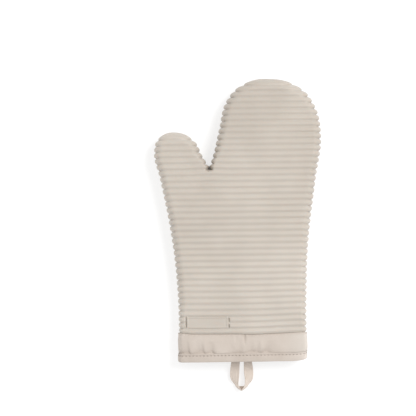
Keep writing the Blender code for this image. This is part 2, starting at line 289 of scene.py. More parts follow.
def warp(points):
    """The mitt's lie on the table: it twists, it sags towards the cuff, and the cuff is uneven."""
    x, y, z = points.T
    out = points.copy()
    sag = 0.17 * (1 - np.clip(y / (230 * MM), 0, 1)) + 0.05 * smoothstep(240 * MM, 330 * MM, y)
    out[:, 2] *= 1 - sag * smoothstep(-40 * MM, 0, y)
    uneven = smoothstep(PARTING_Z, 30 * MM, z) * (1 - smoothstep(10 * MM, 110 * MM, y))
    out[:, 2] += 2.0 * MM * uneven * ripple(x, 0.3 * y, 95 * MM, 6)
    flare = np.clip((x - 50 * MM) / (25 * MM), 0, 1) ** 2 * smoothstep(20 * MM, 30 * MM, z)
    out[:, 2] += 5.0 * MM * flare * (1 - smoothstep(-1 * MM, 11 * MM, y))
    out[:, 1] += shift_along(x, y)
    return out


def to_frame(points):
    """Points of the plan, as they lie in the frame."""
    return warp(np.asarray(points, float)) + ORIGIN


def add_mesh(name, points, faces, look, body="mitt"):
    """A smooth piece from points of the plan, riding on a body of the frame."""
    mesh = bpy.data.meshes.new(name)
    mesh.from_pydata(to_frame(points).tolist(), [], [tuple(int(i) for i in f) for f in faces])
    mesh.validate()
    mesh.shade_smooth()
    mesh.materials.append(look)
    piece = bpy.data.objects.new(name, mesh)
    bpy.context.scene.collection.objects.link(piece)
    if body:
        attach(piece, body)
    return piece


def curve_mesh(curve):
    """The mesh that a curve makes. The curve is used up."""
    holder = bpy.data.objects.new(curve.name, curve)
    bpy.context.scene.collection.objects.link(holder)
    evaluated = holder.evaluated_get(bpy.context.evaluated_depsgraph_get())
    mesh = bpy.data.meshes.new_from_object(evaluated)
    bpy.data.objects.remove(holder)
    bpy.data.curves.remove(curve)
    return mesh


def grid_faces(ids):
    """Quads between the rows and columns of an array of vertex numbers."""
    a, b, c, d = ids[:-1, :-1], ids[:-1, 1:], ids[1:, 1:], ids[1:, :-1]
    return np.stack([a, b, c, d], axis=-1).reshape(-1, 4)


def shell(outer, inner, faces):
    """Two matching open surfaces joined round their borders into one closed wall."""
    count = len(outer)
    edges = {}
    for face in faces:
        for a, b in zip(face, [*face[1:], face[0]]):
            if (b, a) in edges:
                del edges[(b, a)]
            else:
                edges[(a, b)] = True
    walls = [list(f) for f in faces]
    walls += [[i + count for i in reversed(f)] for f in faces]
    walls += [[b, a, a + count, b + count] for a, b in edges]
    return np.concatenate([outer, inner]), walls


# ---------------------------------------------------------------- the mitt's form

def outline_points():
    """The outline as a close line of points, anticlockwise, from Blender's own smooth handles."""
    curve = bpy.data.curves.new("outline", "CURVE")
    curve.dimensions = "2D"
    curve.fill_mode = "NONE"
    curve.resolution_u = OUTLINE_STEPS
    spline = curve.splines.new("BEZIER")
    spline.bezier_points.add(len(OUTLINE) - 1)
    spline.use_cyclic_u = True
    for point, (_, x, y, handles) in zip(spline.bezier_points, OUTLINE):
        point.co = (x * MM, y * MM, 0)
        point.handle_left_type = handles
        point.handle_right_type = handles
    mesh = curve_mesh(curve)
    points = np.array([v.co[:2] for v in mesh.vertices])
    bpy.data.meshes.remove(mesh)
    return points


def offset_line(points, inset):
    """A closed anticlockwise line moved inwards."""
    along = np.roll(points, -1, axis=0) - np.roll(points, 1, axis=0)
    along /= np.linalg.norm(along, axis=1)[:, None]
    inwards = np.stack([-along[:, 1], along[:, 0]], axis=1)
    return points + inwards * inset


class Outline:
    """The mitt's edge at one depth, with what is asked of it: its sides, and distances to it."""

    POINTS_AT_ONCE = 4000

    def __init__(self, inset):
        line = offset_line(BASE_LINE, inset)
        top = int(np.argmax(line[:, 1]))
        thumb = top + int(np.argmax(np.where(line[top:, 0] < -60 * MM, line[top:, 1], -1)))
        crotch = top + int(np.argmin(line[top:thumb, 1]))
        self.line = line
        self.crotch, self.top, self.thumb = line[crotch], line[top], line[thumb]
        self.right = line[: top + 1]
        self.finger_side = line[top : crotch + 1][::-1]
        self.thumb_side = line[crotch : thumb + 1]
        self.left = line[thumb:][::-1]

    @staticmethod
    def at(branch, y):
        """Where one side of the outline is, at a place along the mitt."""
        return float(np.interp(y, branch[:, 1], branch[:, 0]))

    def nearest(self, points):
        """Each point's distance from the edge, and the way out to it."""
        start = self.line
        run = np.roll(start, -1, axis=0) - start
        length2 = (run**2).sum(1)
        normal = np.stack([run[:, 1], -run[:, 0]], axis=1) / np.sqrt(length2)[:, None]
        distance = np.empty(len(points))
        out = np.empty((len(points), 2))
        for first in range(0, len(points), self.POINTS_AT_ONCE):
            some = points[first : first + self.POINTS_AT_ONCE]
            rel = some[:, None, :] - start[None]
            t = np.clip((rel * run).sum(2) / length2, 0, 1)
            gap = rel - t[..., None] * run
            far = (gap**2).sum(2)
            best = far.argmin(1)
            rows = np.arange(len(some))
            reach = np.sqrt(far[rows, best])
            away = -gap[rows, best] / np.maximum(reach, 1e-9)[:, None]
            on_edge = reach < 0.02 * MM
            away[on_edge] = normal[best[on_edge]]
            distance[first : first + len(some)] = reach
            out[first : first + len(some)] = away
        from_crotch = np.linalg.norm(points - self.crotch, axis=1)
        distance *= 1 + 1.3 * hump(from_crotch, CROTCH_REACH)
        return distance, out


def edge_profile(distance, reach, height):
    """Height over the parting plane, and the slope, at a distance in from the outline."""
    u = np.clip(distance / reach, 1e-5, 1)
    body = 1 - (1 - u) ** EDGE_POWER
    rise = height * body ** (1 / EDGE_POWER)
    slope = height / reach * (1 - u) ** (EDGE_POWER - 1) * body ** (1 / EDGE_POWER - 1)
    return rise, np.clip(slope, 0, 1e4)


def edge_reach(y):
    """The rounded edge's width, which is narrower at the cuff."""
    return between(EDGE_REACH_AT_CUFF, EDGE_REACH, smoothstep(30 * MM, 75 * MM, y))


def crown(x, y):
    """The front's height as a share of the full one: less at its sides, its tips and the thumb."""
    across = np.clip((x - 2 * MM) / (90 * MM), -1.1, 1.1)
    lower = (0.04 + 0.10 * (1 - smoothstep(20 * MM, 90 * MM, y))) * across**2
    lower = lower + 0.05 * smoothstep(240 * MM, 325 * MM, y)
    lower = lower + 0.03 * (smoothstep(-30 * MM, -60 * MM, x) * smoothstep(190 * MM, 240 * MM, y))
    lower = lower + 0.012 * ripple(x, y, 120 * MM, 1)
    return 1 - lower


def rib_depth(x, y, at_edge):
    """How far below its crest the ribbed surface lies: a soft wave, but full beads at the edge."""
    phase = (y - RIB_START) / RIB_PITCH
    wave = RIB_DEPTH * (0.5 + 0.5 * np.cos(2 * np.pi * phase)) ** RIB_POWER
    beads = BEAD_DEPTH + TIP_BEAD_EXTRA * smoothstep(275 * MM, 312 * MM, y)
    beads = beads * between(BEAD_SHARE_AT_THUMB, 1, smoothstep(-40 * MM, 20 * MM, x))
    beads = beads * (np.abs(phase - np.floor(phase) - 0.5) * 2) ** BEAD_POWER
    on_thumb = (x < -35 * MM) & (y > 226 * MM)
    last = np.where(on_thumb, THUMB_RIB_COUNT, RIB_COUNT) - 0.5
    return np.where(phase > last, 0, between(wave, beads, at_edge))


def inside_box(x, y, low, high, soft):
    """1 inside a rectangle, 0 outside it, with a soft edge."""
    gap = np.minimum(np.minimum(x - low[0], high[0] - x), np.minimum(y - low[1], high[1] - y))
    return smoothstep(-soft, soft, gap)


def front_depth(x, y, at_edge):
    """The front's surface below the crests, with its ribs, plaque and slots."""
    plate = inside_box(x, y, PLAQUE_LOW, PLAQUE_HIGH, 0.3 * MM)
    field_low, field_high = PLAQUE_LOW + PLAQUE_RIM_WIDTH, PLAQUE_HIGH - PLAQUE_RIM_WIDTH
    field = inside_box(x, y, field_low, field_high, 0.3 * MM)
    depth = rib_depth(x, y, at_edge) * (1 - plate) + plate * PLAQUE_DEPTH * field
    for low, high in SLOTS:
        slot = inside_box(x, y, np.array(low) * MM, np.array(high) * MM, 0.25 * MM)
        depth = np.maximum(depth, slot * SLOT_DEPTH)
    return depth


# ---------------------------------------------------------------- grids over the mitt

def merged(rows, extra, closest=0.12 * MM):
    """Row places with more put in, none closer together than a least step."""
    kept = []
    for y in sorted([*rows, *extra]):
        if not kept or y - kept[-1] > closest:
            kept.append(y)
    return kept


def rows_between(low, high, base, extra):
    """Row places from low to high, both included."""
    inner = merged([y for y in base if low < y < high], [y for y in extra if low < y < high])
    inner = [y for y in inner if y - low > 0.1 * MM and high - y > 0.1 * MM]
    return [low, *inner, high]


def tip_rows(tip):
    """Row places that crowd towards a fingertip, where the surface turns over."""
    return [tip - 5.5 * MM * (k / 16) ** 2 for k in range(1, 17)]


def plaque_rows():
    """Row places that crowd at the plaque's lower and upper edges."""
    step = 0.25 * MM
    return [edge + k * step for edge in (PLAQUE_LOW[1], PLAQUE_HIGH[1]) for k in range(-5, 6)]


def crowded(low, high, count, fine):
    """Places across a row, crowded at both edges and, on a fine grid, at the plaque's ends."""
    x = np.linspace(low, high, 3000)
    edge = np.minimum(x - low, high - x)
    cell = np.minimum(1.6 * MM * np.clip(np.sqrt(edge / (20 * MM)), 0.05, 1), WIDEST_CELL)
    for place in FINE_COLUMNS if fine else ():
        cell = np.minimum(cell, 0.28 * MM + 0.25 * np.abs(x - place * MM))
    total = np.concatenate([[0], np.cumsum((1 / cell[1:] + 1 / cell[:-1]) / 2)])
    return np.interp(np.linspace(0, total[-1], count + 1), total, x)


def round_spaced(low, high, count):
    """Places across a row that crowd towards its ends as on a circle."""
    return low + (high - low) * (1 - np.cos(np.pi * np.arange(count + 1) / count)) / 2


class MittGrid:
    """Rows of points over one half of the mitt, split in two above the crotch of the thumb."""

    def __init__(self, outline, bottom, base_rows, columns, fine=False):
        left_columns, right_columns = columns
        width = left_columns + right_columns + 1
        crotch_x, crotch_y = outline.crotch
        near = [crotch_y + k * 0.3 * MM for k in range(-12, 13)] if fine else []
        rows = rows_between(bottom, crotch_y, base_rows, near + plaque_rows() if fine else [])
        points = []
        for y in rows:
            left, right = outline.at(outline.left, y), outline.at(outline.right, y)
            whole = crowded(left, right, width - 1, fine)
            split = np.concatenate([
                round_spaced(left, crotch_x, left_columns)[:-1],
                round_spaced(crotch_x, right, right_columns),
            ])
            share = smoothstep(crotch_y - 90 * MM, crotch_y - 1 * MM, y)
            points.append(np.stack([whole * (1 - share) + split * share, np.full(width, y)], 1))
        ids = np.arange(len(rows) * width).reshape(len(rows), width)
        faces, fans, count = [grid_faces(ids)], [], ids.size
        branches = (
            (ids[-1, : left_columns + 1], outline.thumb, outline.left, outline.thumb_side),
            (ids[-1, left_columns:], outline.top, outline.finger_side, outline.right),
        )
        for first, tip, left_line, right_line in branches:
            width = len(first)
            rows = rows_between(crotch_y, tip[1], base_rows, [*near, *tip_rows(tip[1])])[1:-1]
            for y in rows:
                left, right = outline.at(left_line, y), outline.at(right_line, y)
                points.append(np.stack([round_spaced(left, right, width - 1), np.full(width, y)], 1))
            ids = count + np.arange(len(rows) * width).reshape(len(rows), width)
            faces.append(grid_faces(np.vstack([first, ids])))
            points.append(tip[None])
            count += ids.size
            fans += [[a, b, count] for a, b in zip(ids[-1, :-1], ids[-1, 1:])]
            count += 1
        self.plan = np.concatenate(points)
        self.faces = np.concatenate(faces).tolist() + fans
        self.distance, self.out = outline.nearest(self.plan)

    def surface(self, inset, front, depth, level=False):
        """The points at a depth under this half's face, measured in planes across it if level."""
        x, y = self.plan.T
        reach, height = edge_reach(y) - 0.55 * inset, PARTING_Z - inset
        rise, slope = edge_profile(self.distance, reach, height)
        if front:
            factor = crown(x, y)
            rise, slope = rise * factor, slope * factor
        normal = np.column_stack([self.out * slope[:, None], np.ones(len(x))])
        if level:
            normal[:, 1] = 0
        normal /= np.linalg.norm(normal, axis=1)[:, None]
        place = np.column_stack([x, y, rise]) - normal * np.reshape(depth, (-1, 1))
        if front:
            lean = 1.3 * MM * (np.maximum(y - 235 * MM, 0) / (75 * MM)) ** 2
            place[:, 1] -= lean * rise / height
            outer_side = smoothstep(30 * MM, 60 * MM, x) * (1 - smoothstep(205 * MM, 235 * MM, y))
            down = np.clip(1 - rise / height, 0, 1) ** 1.5
            place[:, 1] += 0.8 * MM * outer_side * down * smoothstep(33 * MM, 50 * MM, y)
        else:
            place[:, 2] *= -1
        place[:, 2] += PARTING_Z
        return place

    def add_half(self, name, front, outer, inner, look):
        """One half's piece, as a closed wall between two surfaces over this grid."""
        faces = self.faces if front else [f[::-1] for f in self.faces]
        return add_mesh(name, *shell(outer, inner, faces), look)


# ---------------------------------------------------------------- materials

class Nodes:
    """A short way to write a material's nodes."""

    def __init__(self, name, roughness, specular):
        self.material = bpy.data.materials.new(name)
        self.material.use_nodes = True
        self.tree = self.material.node_tree
        self.shader = self.tree.nodes["Principled BSDF"]
        self.set("Roughness", roughness)
        self.set("Specular IOR Level", specular)
        self.place = self.add("ShaderNodeTexCoord").outputs["Object"]

    def set(self, name, value):
        self.shader.inputs[name].default_value = value

    def add(self, kind, **values):
        node = self.tree.nodes.new(kind)
        for key, value in values.items():
            setattr(node, key, value)
        return node

    def link(self, a, b):
        self.tree.links.new(a, b)

    def xyz(self):
        node = self.add("ShaderNodeSeparateXYZ")
        self.link(self.place, node.inputs[0])
        return node.outputs

    def noise(self, scale, detail, roughness=0.55):
        node = self.add("ShaderNodeTexNoise")
        node.inputs["Scale"].default_value = scale
        node.inputs["Detail"].default_value = detail
        node.inputs["Roughness"].default_value = roughness
        self.link(self.place, node.inputs["Vector"])
        return node.outputs["Fac"]

    def math(self, operation, *values):
        node = self.add("ShaderNodeMath", operation=operation)
        for socket, value in zip(node.inputs, values):
            if isinstance(value, (int, float)):
                socket.default_value = value
            else:
                self.link(value, socket)
        return node.outputs[0]

    def scaled(self, value, factor, offset=0):
        return self.math("MULTIPLY_ADD", value, factor, offset)

    def ramp(self, value, dark_at, light_at, colours):
        """A darker colour up to one value, a lighter one from another on."""
        node = self.add("ShaderNodeValToRGB")
        for element, at, colour in zip(node.color_ramp.elements, (dark_at, light_at), colours):
            element.position = at
            element.color = (*colour, 1)
        self.link(value, node.inputs["Fac"])
        return node.outputs["Color"]

    def towards(self, share, socket, colour):
        """A colour socket that goes over to a fixed colour by a share."""
        node = self.add("ShaderNodeMix", data_type="RGBA")
        factor, first, second = node.inputs[0], node.inputs[6], node.inputs[7]
        self.link(share, factor)
        self.link(socket, first)
        second.default_value = (*colour, 1)
        return node.outputs[2]

    def colour(self, value):
        self.link(value, self.shader.inputs["Base Color"])

    def bump(self, height, distance, strength):
        node = self.add("ShaderNodeBump")
        node.inputs["Strength"].default_value = strength
        node.inputs["Distance"].default_value = distance
        self.link(height, node.inputs["Height"])
        self.link(node.outputs["Normal"], self.shader.inputs["Normal"])


def silicone_material():
    """Smooth matt silicone, with painted shade darkening it towards the fingertips and painted light
    paling the thumb again.
    """
    m = Nodes("silicone", 0.48, 0.4)
    x, y, _ = m.xyz()
    # Painted shade: the colour darkens towards the fingertips where the light falls off. Painted light:
    # the thumb's side pales towards its tip, against the shade of its slope.
    along = m.math("MULTIPLY", m.math("MAXIMUM", y, -0.03), -3.0)
    thumbwards = m.math("MAXIMUM", m.math("MULTIPLY", x, -1), 0.03)
    on_thumb = m.math("MULTIPLY", m.math("MULTIPLY", thumbwards, 5.0), m.math("MAXIMUM", y, 0))
    shade = m.math("ADD", m.noise(18, 2), m.scaled(on_thumb, 9.0, along))
    m.colour(m.ramp(shade, 0.2, 0.75, SILICONE))
    m.link(m.scaled(m.noise(240, 3), 0.12, 0.42), m.shader.inputs["Roughness"])
    m.bump(m.noise(2600, 2), 0.05 * MM, 0.5)
    m.set("Subsurface Weight", 0.12)
    m.set("Subsurface Radius", (4 * MM, 2.5 * MM, 1.8 * MM))
    m.set("Subsurface Scale", 1.0)
    return m.material


def woven_material(name, colours, pitch, slant=1.0):
    """Twill: two sets of yarns at right angles, whose floats step sideways row by row. A third colour is
    painted light, paling the side away from the thumb.
    """
    m = Nodes(name, 0.86, 0.25)
    x, y, z = m.xyz()
    around = m.math("ADD", x, m.math("MULTIPLY", z, 0.8))
    diagonal = m.math("ADD", around, m.math("MULTIPLY", y, slant))
    wave = m.math("SINE", m.math("MULTIPLY", diagonal, 2 * math.pi / pitch))
    counter = m.math("MULTIPLY", m.math("SUBTRACT", around, y), 2.6 * math.pi / pitch)
    weave = m.scaled(m.math("SINE", counter), 0.35, wave)
    slub = m.noise(900, 2)
    mottle = m.scaled(m.noise(60, 3), 0.7, -0.35)
    shade = m.ramp(m.math("ADD", m.scaled(weave, 0.16, 0.5), mottle), 0.15, 0.8, colours[:2])
    # Painted light: towards the side away from the thumb the twill goes over to the third, paler colour,
    # as if lit from that side.
    if len(colours) > 2:
        outer_side = m.math("MAXIMUM", m.scaled(x, 26, -1.2), 0)
        shade = m.towards(m.math("MINIMUM", outer_side, 0.8), shade, colours[2])
    m.colour(shade)
    m.bump(m.scaled(slub, 1.6, weave), 0.12 * MM, 0.6)
    m.set("Sheen Weight", 0.25)
    m.set("Sheen Roughness", 0.5)
    return m.material


def thread_material(name, colours):
    """Sewing thread, with the fine slanting lines of its twist."""
    m = Nodes(name, 0.6, 0.35)
    x, y, z = m.xyz()
    slanting = m.math("ADD", m.math("ADD", x, y), z)
    twist = m.math("SINE", m.math("MULTIPLY", slanting, 2 * math.pi / (0.35 * MM)))
    m.colour(m.ramp(m.scaled(twist, 0.3, 0.5), 0.2, 0.8, colours))
    m.bump(twist, 0.05 * MM, 0.5)
    return m.material


def wadding_material():
    """Pale loose fibres."""
    m = Nodes("wadding", 0.95, 0.1)
    fibres = m.noise(1400, 6, 0.8)
    m.colour(m.ramp(fibres, 0.3, 0.7, WADDING))
    m.bump(fibres, 0.3 * MM, 0.8)
    m.set("Sheen Weight", 0.3)
    return m.material


# ---------------------------------------------------------------- silicone, padding and lining

def webbed(points):
    """The two sides of the crotch drawn together low down, where the halves are bonded."""
    x, y, z = points.T
    side = x - CROTCH_X
    near = (1 - smoothstep(227 * MM, 230 * MM, y)) * (y > 223.8 * MM) * (np.abs(side) < 4 * MM)
    out = points.copy()
    out[:, 0] -= (side - np.sign(side) * 0.04 * MM) * hump(z - PARTING_Z, 6 * MM) * near
    return out


def build_silicone(look):
    """The two moulded halves: both ribbed, and the front with its plaque and slots."""
    base = [RIB_START + (k + part) * RIB_PITCH for k in range(RIB_COUNT + 1) for part in RIB_ROWS]
    grid = MittGrid(Outline(SILICONE_INSET), SILICONE_BOTTOM, base, SHELL_COLUMNS, fine=True)
    x, y = grid.plan.T
    rise, _ = edge_profile(grid.distance, edge_reach(y), PARTING_Z)
    seam = 0.2 * MM * hump(rise, 0.7 * MM)
    at_edge = 1 - smoothstep(0.5 * MM, 8 * MM, grid.distance)
    crease = 0.3 * MM * hump(grid.distance - 9.6 * MM, 0.9 * MM)
    crease = crease * smoothstep(0, 30 * MM, x) * (1 - smoothstep(225 * MM, 250 * MM, y))
    for side, front in (("front", True), ("back", False)):
        if front:
            depth = front_depth(x, y, at_edge) + crease + seam
        else:
            depth = rib_depth(x, y, at_edge) + seam
        outer = webbed(grid.surface(0, front, depth, level=True))
        inner = grid.surface(0, front, SILICONE_WALL)
        piece = grid.add_half(f"ribbed_silicone_{side}", front, outer, inner, look)
        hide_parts(f"silicone_{side}")


def quilt_puff(x, y):
    """The quilted liner's fullness: 0 along the diagonal stitch lines, 1 between them."""
    total = 1
    for sign in (1, -1):
        across = (x + sign * y) / math.sqrt(2) / QUILT_SPACING
        total = total * np.abs(np.sin(np.pi * across)) ** 0.6
    return total


def build_liner(padding_look, lining_look):
    """The padding behind each half, and the quilted lining inside it."""
    base = [k * LINER_ROW_STEP for k in range(1, LINER_ROW_COUNT + 1)]
    layers = (("padding", PADDING_DEPTH, padding_look), ("lining", LINING_DEPTH, lining_look))
    for kind, inset, look in layers:
        grid = MittGrid(Outline(inset), LINER_BOTTOM, base, LINER_COLUMNS)
        puff = quilt_puff(*grid.plan.T) * smoothstep(0, 8 * MM, grid.distance)
        if kind == "padding":
            near, far = 0 * puff, PADDING_THICK * (0.5 + 0.5 * puff)
        else:
            near = LINING_PUFF * puff - LINING_RISE
            far = near + LINING_THICK
        for side, front in (("front", True), ("back", False)):
            outer, inner = grid.surface(inset, front, near), grid.surface(inset, front, far)
            piece = grid.add_half(f"quilted_{kind}_{side}", front, outer, inner, look)
            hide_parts(f"{kind}_{side}")


# ---------------------------------------------------------------- cuff

class CuffLoop:
    """The closed line round the cuff in x and z, evenly stepped from the thumb's side over the front."""

    def __init__(self, steps):
        line, core = self.section(0), self.section(HEM_WHOLE_DEPTH)
        length = run_length(line)
        self.around, front_length = length[-1], length[SECTION_STEPS - 1]
        self.front_steps = int(round(steps * front_length / self.around))
        self.at = np.linspace(0, self.around, steps + 1)[:-1]
        self.at[self.front_steps] = front_length
        self.line = np.stack([np.interp(self.at, length, line[:, k]) for k in (0, 1)], 1)
        self.core = np.stack([np.interp(self.at, length, core[:, k]) for k in (0, 1)], 1)
        along = np.roll(self.line, -1, axis=0) - np.roll(self.line, 1, axis=0)
        along /= np.linalg.norm(along, axis=1)[:, None]
        self.normal = np.stack([-along[:, 1], along[:, 0]], 1)

    @staticmethod
    def section(inset):
        """The cuff's section this far in, with its corners kept round."""
        half, height = HALF_CUFF - inset, PARTING_Z - inset
        x = -half * np.cos(np.pi * np.linspace(0, 1, SECTION_STEPS))
        rise, _ = edge_profile(half - np.abs(x), EDGE_REACH_AT_CUFF, height)
        rise[0] = rise[-1] = 0
        upper = np.stack([x, PARTING_Z + rise * crown(x, 20 * MM)], 1)
        lower = np.stack([x, PARTING_Z - rise], 1)[::-1]
        return np.concatenate([upper, lower[1:]])

    def points(self, which, y, depth):
        """Points at these steps round the cuff, this far along the mitt and this deep."""
        share = np.reshape(depth, (-1, 1)) / HEM_WHOLE_DEPTH
        flat = between(self.line[which], self.core[which], share)
        return np.column_stack([flat[:, 0], np.broadcast_to(y, len(flat)), flat[:, 1]])


def front_folds(x, y, rise):
    """The front's folds, inwards positive: puckers over the hem, and two under the silicone's lip."""
    total = 0
    tall = 1 - smoothstep(22 * MM, 31.5 * MM, y)
    for middle, width, slant, depth in PUCKERS:
        off = x - middle * MM
        narrow = hump(off - slant * (y - HEM_HEIGHT), (1.3 + 1.1 * rise) * width * MM)
        broad = hump(off, 1.7 * width * MM)
        total = total + depth * MM * (2.4 * rise * narrow + 0.5 * tall * broad)
    above_lip = 1 - smoothstep(31 * MM, 34 * MM, y)
    spread = 1 + 1.2 * (1 - smoothstep(14 * MM, 30 * MM, y))
    deep = hump(x - 2.6 * MM, 1.0 * MM * spread) * smoothstep(17 * MM, 28 * MM, y)
    shallow = hump(x + 7.5 * MM, 1.6 * MM) * smoothstep(17 * MM, 29 * MM, y)
    return total + (2.2 * MM * deep + 0.6 * MM * shallow) * above_lip


def band_relief(x, y, front):
    """How far the band stands out: swollen at its middle, and folded where the sewing draws it in."""
    rise = np.clip((27 * MM - y) / (27 * MM - HEM_HEIGHT), 0, 1) ** 1.4
    swell = plateau(HEM_HEIGHT - 2 * MM, 15 * MM, 24 * MM, 31 * MM, y)
    total = 0.7 * MM * swell + 0.9 * MM * smoothstep(52 * MM, 74 * MM, x)
    if front:
        total = total - front_folds(x, y, rise)
    else:
        gathers = 0.5 + 0.5 * np.sin(x / (2.1 * MM) + 2 * np.sin(x / (9 * MM)))
        total = total - 0.5 * MM * rise * gathers
    return np.maximum(total, -DEEPEST_PUCKER) + 0.18 * MM * ripple(x, y, 30 * MM, 4)


def build_band(loop, look):
    """The twill band's two halves, held down under the binding and tucked under the silicone."""
    rows = np.concatenate([np.linspace(1.4 * MM, 8 * MM, 6), np.linspace(8.5 * MM, CUFF_TOP, 50)])
    for side, front in (("front", True), ("back", False)):
        if front:
            which = np.arange(0, loop.front_steps + 1)
        else:
            which = np.arange(loop.front_steps, CUFF_STEPS + 1) % CUFF_STEPS
        outer, inner = [], []
        for y in rows:
            held = 1 - smoothstep(8.8 * MM, 10.6 * MM, y)
            tuck = 2.4 * MM * smoothstep(30.8 * MM, 33.2 * MM, y) + 0.85 * MM * held
            depth = BAND_DEPTH + tuck - band_relief(loop.line[which, 0], y, front) * (1 - held)
            outer.append(loop.points(which, y, depth))
            inner.append(loop.points(which, y, depth + BAND_THICK))
        ids = np.arange(len(rows) * len(which)).reshape(len(rows), len(which))
        faces = grid_faces(ids).tolist()
        points, walls = shell(np.concatenate(outer), np.concatenate(inner), faces)
        piece = add_mesh(f"twill_band_{side}", points, walls, look)
        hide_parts(f"cuff_band_{side}")


def hem_profile():
    """The folded binding's section: (height, depth) pairs in metres round it, outer face first."""
    whole = (HEM_WHOLE_DEPTH - HEM_DEPTH) / MM
    top, inner_top, turn = HEM_HEIGHT / MM, HEM_INNER_HEIGHT / MM, HEM_TURN / MM
    angles = [math.pi / 2 * k / 8 for k in range(9)]
    outer_lip = [(top - 0.25, 0.75), (top, 0.45), (top - 0.2, 0.08)]
    outer_face = [(y, 0) for y in (9.4, 8.9, 8.4, 8.0, 7.6, 7.2, 6.7, 6.0, 5.0, 4.0, 3.0, 2.3)]
    outer_turn = [(turn * (1 - math.sin(a)), turn * (1 - math.cos(a))) for a in angles[1:-1]]
    inner_turn = [(turn * (1 - math.cos(a)), whole - turn * (1 - math.sin(a))) for a in angles]
    inner_face = [(y, whole) for y in (3.0, 4.0, 5.2, 6.2, 7.0, 7.8, 8.5)]
    inner_lip = [(inner_top, whole - 0.3), (inner_top - 0.2, whole - 0.7)]
    inside = [(5.0, whole - 0.8), (2.0, whole - 0.9), (1.6, whole / 2), (2.0, 0.95), (6.0, 0.85)]
    pairs = outer_lip + outer_face + outer_turn + inner_turn + inner_face + inner_lip + inside
    return [(y * MM, depth * MM) for y, depth in pairs]


def hem_relief(x, y, along, front):
    """How far the binding's outer face stands out: pinched at its stitches, full below them."""
    turns = 2 * math.pi * along / STITCH_PITCH
    stitch = 0.5 + 0.5 * np.cos(turns)
    full = np.sin(np.pi * np.clip(y / HEM_STITCH_Y, 0, 1)) ** 0.7
    total = 0.3 * MM * full - (0.2 * MM + 0.45 * MM * stitch) * hump(y - HEM_STITCH_Y, 0.9 * MM)
    total = total + 0.08 * MM * np.sin(turns + y / (1.1 * MM)) * full
    lift = smoothstep(46 * MM, 62 * MM, x) * smoothstep(7.8 * MM, 10 * MM, y)
    return total + 0.9 * MM * lift * front + 0.15 * MM * ripple(along, 3 * y, 23 * MM, 2)


def build_hem(loop, look):
    """The binding folded over the band's lower edge, all round the mouth."""
    profile = hem_profile()
    which = np.arange(CUFF_STEPS)
    rows = []
    for y, depth in profile:
        relief = hem_relief(loop.line[:, 0], y, loop.at, which <= loop.front_steps)
        out = relief if depth < 2.5 * MM else -0.5 * relief
        rows.append(loop.points(which, y, HEM_DEPTH + depth - out))
    ids = np.arange(len(profile) * CUFF_STEPS).reshape(len(profile), CUFF_STEPS)
    ring = np.column_stack([ids, ids[:, :1]])
    faces = grid_faces(np.vstack([ring, ring[:1]]))[:, ::-1]
    piece = add_mesh("folded_hem_binding", np.concatenate(rows), faces, look)
    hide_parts("hem_binding")


def hem_stitch_depth(x, y, along, front):
    return HEM_DEPTH - hem_relief(x, y, along, front)


def band_stitch_depth(x, y, along, front):
    return BAND_DEPTH - band_relief(x, y, front)


def stitch_row(name, loop, y, depth, length, look, node):
    """A row of single stitches that dip into the cloth at their ends, all round the cuff."""
    count = int(round(loop.around / STITCH_PITCH))
    points, faces = [], []
    line = np.vstack([loop.line, loop.line[:1]])
    normal = np.vstack([loop.normal, loop.normal[:1]])
    at = np.append(loop.at, loop.around)
    for k in range(count):
        middle = (k + 0.5) * loop.around / count
        front = middle < at[loop.front_steps]
        for t in np.linspace(-1, 1, STITCH_RINGS):
            where = middle + t * length / 2
            flat = np.array([np.interp(where, at, line[:, i]) for i in (0, 1)])
            out = np.array([np.interp(where, at, normal[:, i]) for i in (0, 1)])
            dip = depth(flat[0], y, where, front) + 0.55 * MM * t**4 - THREAD_RADIUS * 0.6
            radius = THREAD_RADIUS * (1 - 0.5 * t**6)
            for s in range(STITCH_SIDES):
                turn = 2 * math.pi * s / STITCH_SIDES
                spot = flat - out * dip + out * math.sin(turn) * radius
                points.append((spot[0], y + math.cos(turn) * radius + 0.1 * MM * t, spot[1]))
        ids = k * STITCH_RINGS * STITCH_SIDES + np.arange(STITCH_RINGS * STITCH_SIDES)
        ids = ids.reshape(STITCH_RINGS, STITCH_SIDES)
        faces += grid_faces(np.column_stack([ids, ids[:, :1]])).tolist()
        faces += [ids[0, ::-1].tolist(), ids[-1].tolist()]
    piece = add_mesh(name, points, faces, look)
    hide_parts(node)


# ---------------------------------------------------------------- loop

def loop_line():
    """Smooth lines through the loop's stations: its inner edge and its outer edge."""
    knots = np.array(LOOP_STATIONS).reshape(-1, 6) * MM
    ends = np.vstack([2 * knots[0] - knots[1], knots, 2 * knots[-1] - knots[-2]])
    rows = []
    for k in range(len(knots) - 1):
        a, b, c, d = ends[k : k + 4]
        for t in np.arange(LOOP_STEPS) / LOOP_STEPS:
            curved = (2 * a - 5 * b + 4 * c - d) * t**2 / 2 + (3 * b - a - 3 * c + d) * t**3 / 2
            rows.append(b + (c - a) * t / 2 + curved)
    rows = np.array([*rows, knots[-1]])
    return rows[:, :3], rows[:, 3:]


def tape_section():
    """The tape's section as (across, through) from -1 to 1: folded edges thicker than its middle."""
    edge = [(-1, 0), (-0.985, 0.6), (-0.93, 1.05), (-0.84, 1.2), (-0.72, 1.1), (-0.64, 0.45)]
    middle = [(-0.56, 0.45), (-0.48, 0.72), (-0.25, 0.78)]
    half = edge + middle
    upper = half + [(0, 0.8)] + [(-a, t) for a, t in reversed(half)]
    return upper + [(a, -t) for a, t in reversed(upper[1:-1])]


